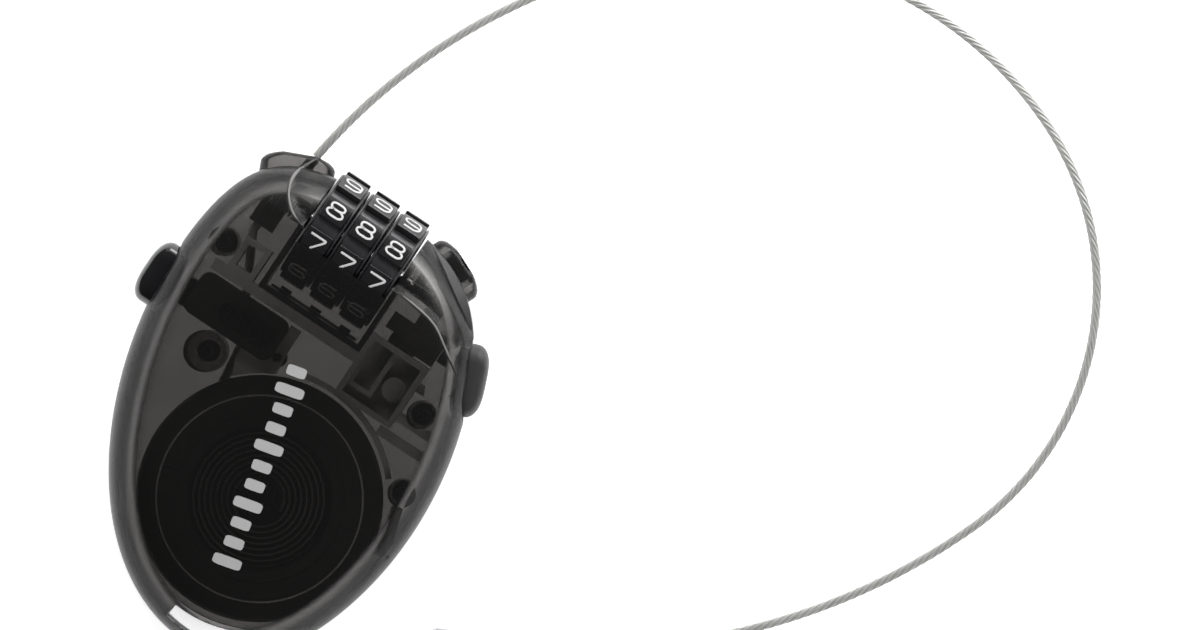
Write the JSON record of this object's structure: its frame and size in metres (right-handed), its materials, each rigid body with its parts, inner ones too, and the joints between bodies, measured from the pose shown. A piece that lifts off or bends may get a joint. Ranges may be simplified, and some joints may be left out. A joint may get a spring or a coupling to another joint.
{
  "type": "cable luggage lock",
  "caption": "Egg-shaped combination luggage lock with number wheels, a reel of retractable wire cable ending in a plug, an open button and a retract button.",
  "frame": {"origin": "on the cable drum's axis, at the flat back face", "axes": "+X along the wheel spindle towards the plug socket's side, +Y towards the number wheels, +Z out of the front face"},
  "size_m": [0.1393, 0.1527, 0.022],
  "materials": {
    "smoke_shell": "smoked translucent, satin gloss",
    "smoke_collar": "smoked translucent, gloss",
    "black_gloss": "high gloss",
    "grey_matte": "fine texture",
    "inner_grey": "moulded",
    "inner_black": "moulded",
    "steel": "plated",
    "spring_steel": "drawn",
    "chrome": "polished",
    "cable_steel": "stranded"
  },
  "bodies": {
    "case": {"front_shell": "smoke_shell", "back_shell": "smoke_shell", "case_screws": "steel", "exit_collar": "smoke_collar", "socket_collar": "smoke_collar", "plug_socket": "chrome", "dial_frame": "inner_black", "detent_spring": "spring_steel", "inner_frame": "inner_grey", "cable_guide": "inner_black", "cable_inner_run": "cable_steel", "drum_axle": "steel", "axle_screw": "steel", "pawl_pin": "steel", "pawl_spring": "spring_steel", "spindle_spring": "spring_steel", "retract_spring": "spring_steel"},
    "wheel_1": {"number_wheel_1": "black_gloss", "wheel_hub_1": "inner_grey"},
    "wheel_2": {"number_wheel_2": "black_gloss", "wheel_hub_2": "inner_grey"},
    "wheel_3": {"number_wheel_3": "black_gloss", "wheel_hub_3": "inner_grey"},
    "spindle": {"spindle": "steel", "latch": "inner_black"},
    "open_button": {"open_button": "grey_matte"},
    "retract_button": {"retract_button": "black_gloss", "retract_slider": "inner_black"},
    "brake_pawl": {"brake_pawl": "inner_grey"},
    "reel": {"drum": "inner_black", "drum_cover": "inner_black", "mainspring": "spring_steel", "wound_cable": "cable_steel"},
    "reset_button": {"reset_button": "inner_black"},
    "cable_1": {"cable_length_1": "cable_steel"},
    "cable_2": {"cable_length_2": "cable_steel"},
    "cable_3": {"cable_length_3": "cable_steel"},
    "cable_4": {"cable_length_4": "cable_steel"},
    "plug": {"plug": "chrome"}
  },
  "joints": [
    {"name": "wheel_1_turn", "type": "hinge", "parent": "case", "child": "wheel_1", "pos_m": [-0.01505, 0.0419, 0.0113], "axis": [1, 0, 0], "continuous": true},
    {"name": "wheel_2_turn", "type": "hinge", "parent": "case", "child": "wheel_2", "pos_m": [-0.00935, 0.0419, 0.0113], "axis": [1, 0, 0], "continuous": true},
    {"name": "wheel_3_turn", "type": "hinge", "parent": "case", "child": "wheel_3", "pos_m": [-0.00365, 0.0419, 0.0113], "axis": [1, 0, 0], "continuous": true},
    {"name": "open_press", "type": "slide", "parent": "case", "child": "open_button", "axis": [-0.9304, -0.3665, 0], "range_m": [0, 0.0013]},
    {"name": "spindle_slide", "type": "slide", "parent": "case", "child": "spindle", "axis": [-1, 0, 0], "range_m": [0, 0.00121], "deforming": ["spindle_spring"]},
    {"name": "retract_press", "type": "slide", "parent": "case", "child": "retract_button", "axis": [1, 0, 0], "range_m": [0, 0.0016], "deforming": ["retract_spring"]},
    {"name": "pawl_swing", "type": "hinge", "parent": "case", "child": "brake_pawl", "pos_m": [-0.0102, 0.0206, 0.0105], "axis": [0, 0, -1], "range_deg": [0, 19.5], "deforming": ["pawl_spring"]},
    {"name": "reel_spin", "type": "hinge", "parent": "case", "child": "reel", "pos_m": [0, 0, 0.009], "axis": [0, 0, 1], "range_deg": [-2500, 1150]},
    {"name": "reset_press", "type": "slide", "parent": "case", "child": "reset_button", "axis": [0, 0, 1], "range_m": [0, 0.0015]},
    {"name": "cable_swing", "type": "hinge", "parent": "case", "child": "cable_1", "pos_m": [-0.0231, 0.051, 0.0075], "axis": [-0.1288, -0.9917, 0], "range_deg": [0, 150]},
    {"name": "cable_bend_1", "type": "hinge", "parent": "cable_1", "child": "cable_2", "pos_m": [0.00284, 0.106, 0.0075], "axis": [0, 0, 1], "range_deg": [-1, 18]},
    {"name": "cable_bend_2", "type": "hinge", "parent": "cable_2", "child": "cable_3", "pos_m": [0.07342, 0.12075, 0.0075], "axis": [0, 0, 1], "range_deg": [-1, 20]},
    {"name": "cable_bend_3", "type": "hinge", "parent": "cable_3", "child": "cable_4", "pos_m": [0.09894, 0.05974, 0.0075], "axis": [0, 0, 1], "range_deg": [-1.5, 24]},
    {"name": "plug_bend", "type": "hinge", "parent": "cable_4", "child": "plug", "pos_m": [0.05375, 0.00645, 0.0075], "axis": [0, 0, 1], "range_deg": [-12, 30]}
  ],
  "couplings": [
    {"joint": "spindle_slide", "follows": "open_press", "ratio": 0.93},
    {"joint": "pawl_swing", "follows": "retract_press", "rad_per_m": 211.6}
  ]
}
